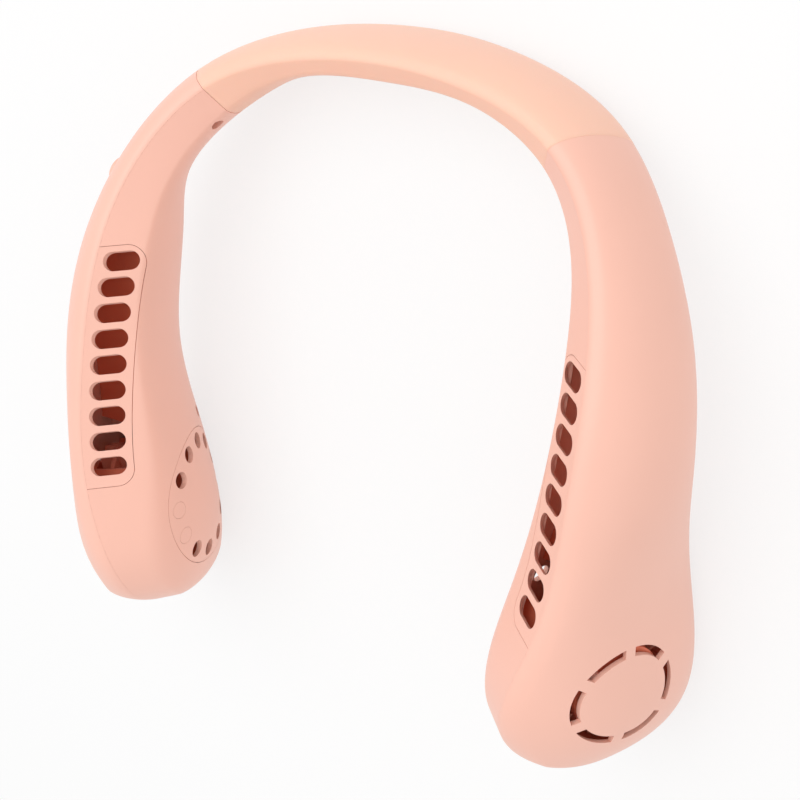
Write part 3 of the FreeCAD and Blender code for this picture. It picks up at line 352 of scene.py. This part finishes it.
def later_part(poles, share):
    """Poles of a Bezier curve from a share of its way on, split off by dividing its sides."""
    kept = []
    while poles:
        kept.insert(0, poles[-1])
        poles = [a.lerp(b, share) for a, b in zip(poles, poles[1:])]
    return kept


def section_poles(ridge, lean, foot, bulge, belly, face, turn, crest, side):
    """Seam, two crest poles, crown, two outer poles, foot, two inner poles and the end of the top face."""
    top, reach, length = ridge[2], OUTER_REACH * bulge, face + BROW_REACH * belly
    corner = Vector((0, top))
    outward = Vector((math.cos(OUTER_SLOPE), math.sin(OUTER_SLOPE)))
    inward = Vector((math.cos(OUTLET_SLOPE), math.sin(OUTLET_SLOPE)))
    tangent = crest * math.tan(CREST_TURN / 2)
    pull = 4 / 3 * math.tan(CREST_TURN / 4) * crest / tangent
    outer = [corner, corner + outward * reach, Vector((lean + bulge, foot)), Vector((lean, foot))]
    outer = later_part(outer, tangent * CREST_SPREAD / (3 * reach))
    seam = corner + inward * tangent
    poles = [seam, seam.lerp(corner, pull), outer[0].lerp(corner, pull)] + outer
    poles += [Vector((lean - belly, foot)), corner + inward * length, corner + inward * face]
    heading = math.radians(turn)
    return [(side * (ridge[0] + across * math.cos(heading)), ridge[1] + across * math.sin(heading), height)
            for across, height in poles]


band_rows = np.array(
    [section_poles(side=-1, **section) for section in BAND_SECTIONS[:0:-1]]
    + [section_poles(side=1, **section) for section in BAND_SECTIONS]) * MM
steps = np.linalg.norm(np.diff(band_rows, axis=0), axis=2).mean(axis=1)
band_marks = np.concatenate([[0], np.cumsum(steps)])
band_marks -= band_marks[len(BAND_SECTIONS) - 1]


def bends(marks, rows):
    """Second derivatives of the smooth curves through the rows."""
    gaps = np.diff(marks)
    count = len(marks)
    table, sides = np.eye(count), np.zeros((count,) + rows.shape[1:])
    slopes = np.diff(rows, axis=0) / gaps[:, None, None]
    for i in range(1, count - 1):
        table[i, i - 1:i + 2] = gaps[i - 1], 2 * (gaps[i - 1] + gaps[i]), gaps[i]
        sides[i] = 6 * (slopes[i] - slopes[i - 1])
    return np.linalg.solve(table, sides.reshape(count, -1)).reshape(rows.shape)


band_bends = bends(band_marks, band_rows)


def band_poles(mark):
    """Poles of the band's section at a distance from the middle."""
    i = int(np.clip(np.searchsorted(band_marks, mark) - 1, 0, len(band_marks) - 2))
    gap = band_marks[i + 1] - band_marks[i]
    b = (mark - band_marks[i]) / gap
    a = 1 - b
    poles = (a * band_rows[i] + b * band_rows[i + 1]
             + ((a ** 3 - a) * band_bends[i] + (b ** 3 - b) * band_bends[i + 1]) * gap * gap / 6)
    return [Vector(pole) for pole in poles]


# Halves of the band and of what is in it
CREST_POINTS = 10
SIDE_POINTS = 22
FACE_STEPS = 6
BAND_STEPS = 44
PAST_SEAM = band_marks[-1] * 0.68
SEAM_ROUNDING = 0.3 * MM
SEAM_ROOM = 2 * SEAM_ROUNDING
RIM_WELD = 0.12 * MM
MIDDLE_REACH = 10 * MM
INNER_CUTS = 15
INNER_STEP = 4 * MM


def band_ring(form, mark):
    """Closed ring of edges round the band at a distance from its middle, starting at the crest."""
    poles = band_poles(mark)
    points = interpolate_bezier(*poles[0:4], CREST_POINTS)[:-1]
    points += interpolate_bezier(*poles[3:7], SIDE_POINTS)[:-1]
    points += interpolate_bezier(*poles[6:10], SIDE_POINTS)[:-1]
    points += [poles[9].lerp(poles[0], i / FACE_STEPS) for i in range(FACE_STEPS)]
    ring = [form.verts.new(point) for point in points]
    return [form.edges.new(pair) for pair in zip(ring, ring[1:] + ring[:1])]


def band_half(side):
    """One half of the silicone band, from its middle to the seam at the arm."""
    form = bmesh.new()
    loop = band_ring(form, 0)
    for i in range(1, BAND_STEPS + 1):
        next_loop = band_ring(form, SIDES[side] * PAST_SEAM * i / BAND_STEPS)
        bmesh.ops.bridge_loops(form, edges=loop + next_loop)
        loop = next_loop
    flip = Vector((SIDES[side], 1, 1))
    point, normal = SEAM_POINT * flip, SEAM_NORMAL * flip
    cut_along(form, point, normal, clear=True)
    crowded = [vert for vert in form.verts
               if not vert.is_boundary and (point - vert.co).dot(normal) < SEAM_ROOM]
    bmesh.ops.dissolve_verts(form, verts=crowded)
    bmesh.ops.remove_doubles(form, verts=[vert for vert in form.verts if vert.is_boundary], dist=RIM_WELD)
    rim = open_edges(form)
    bmesh.ops.holes_fill(form, edges=rim)
    bmesh.ops.recalc_face_normals(form, faces=form.faces)
    seam_rim = [edge for edge in rim if abs(edge.verts[0].co.x) > MIDDLE_REACH]
    bmesh.ops.bevel(form, geom=seam_rim, offset=SEAM_ROUNDING, offset_type="OFFSET", segments=2, profile=0.5,
                    affect="EDGES", material=-1)
    smooth_faces(form)
    return finished(form, "band_" + side, band_silicone)


def inner_half(node, side):
    """One half of a piece inside the band, cut across so that it can bend."""
    form = merged_copy(nodes[node])
    cut_along(form, (0, 0, 0), (-SIDES[side], 0, 0), clear=True)
    bmesh.ops.holes_fill(form, edges=open_edges(form))
    for i in range(1, INNER_CUTS + 1):
        cut_along(form, (SIDES[side] * INNER_STEP * i, 0, 0), (SIDES[side], 0, 0))
    smooth_faces(form)
    return finished(form, node + "_" + side, finishes[node])


# The band and what is in it, made in halves from the middle to the seams
for side, sign in SIDES.items():
    for node in BENT_NODES:
        piece = band_half(side) if node == "neck_band" else inner_half(node, side)
        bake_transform(piece)
        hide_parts(node)


# Camera at the photograph's viewing angle
CAMERA_PLACE = Vector((206.2, 143.7, 345.3)) * MM
RIGHT = Vector((0.8411, 0.0496, -0.5385))
DOWN = Vector((0.2386, -0.9277, 0.2872))
FORWARD = Vector((-0.4854, -0.3701, -0.7921))


def add_to_scene(name, data, place, turned):
    holder = bpy.data.objects.new(name, data)
    bpy.context.scene.collection.objects.link(holder)
    holder.matrix_world = Matrix.Translation(place) @ turned.to_4x4()
    return holder


lens = bpy.data.cameras.new("camera")
lens.lens = 67.5
lens.sensor_width = 36
lens.clip_start = 0.01
bpy.context.scene.camera = add_to_scene(
    "camera", lens, CAMERA_PLACE, Matrix((RIGHT, -DOWN, -FORWARD)).transposed())


# Floor, light and background
LIT_POINT = Vector((0, 0, 0.03))
FLOOR_REACH = 3
FLOOR_COLOUR = (0.9, 0.9, 0.9, 1)
FLOOR_WHITE = 0.72
ROOM_LEVEL = 0.72


def area_light(name, place, size, power):
    lamp = bpy.data.lights.new(name, "AREA")
    lamp.shape = "SQUARE"
    lamp.size = size
    lamp.energy = power
    aim = LIT_POINT - Vector(place)
    add_to_scene(name, lamp, place, aim.to_track_quat("-Z", "Y").to_matrix())


area_light("overhead", place=(-0.12, 0.38, 0.85), size=0.9, power=4.2)
area_light("front_fill", place=(0.6, -0.3, 0.45), size=0.8, power=0.45)

form = bmesh.new()
bmesh.ops.create_grid(form, x_segments=1, y_segments=1, size=FLOOR_REACH)
floor_finish = Finish("floor_white")
floor_finish.set(Base_Color=FLOOR_COLOUR, Roughness=0.9)
floor_finish.whiten(FLOOR_WHITE)
floor = finished(form, "floor", floor_finish)

# The room lights the fan at one level and shows as plain white behind it
world = bpy.data.worlds.new("studio")
bpy.context.scene.world = world
room = Shading(world)
backdrop = room.tree.nodes["Background"]
room.plug(backdrop.inputs["Color"], WHITE)
room.plug(backdrop.inputs["Strength"], ROOM_LEVEL + room.looked_at() * (1 - ROOM_LEVEL))
bpy.context.scene.view_settings.view_transform = "Standard"
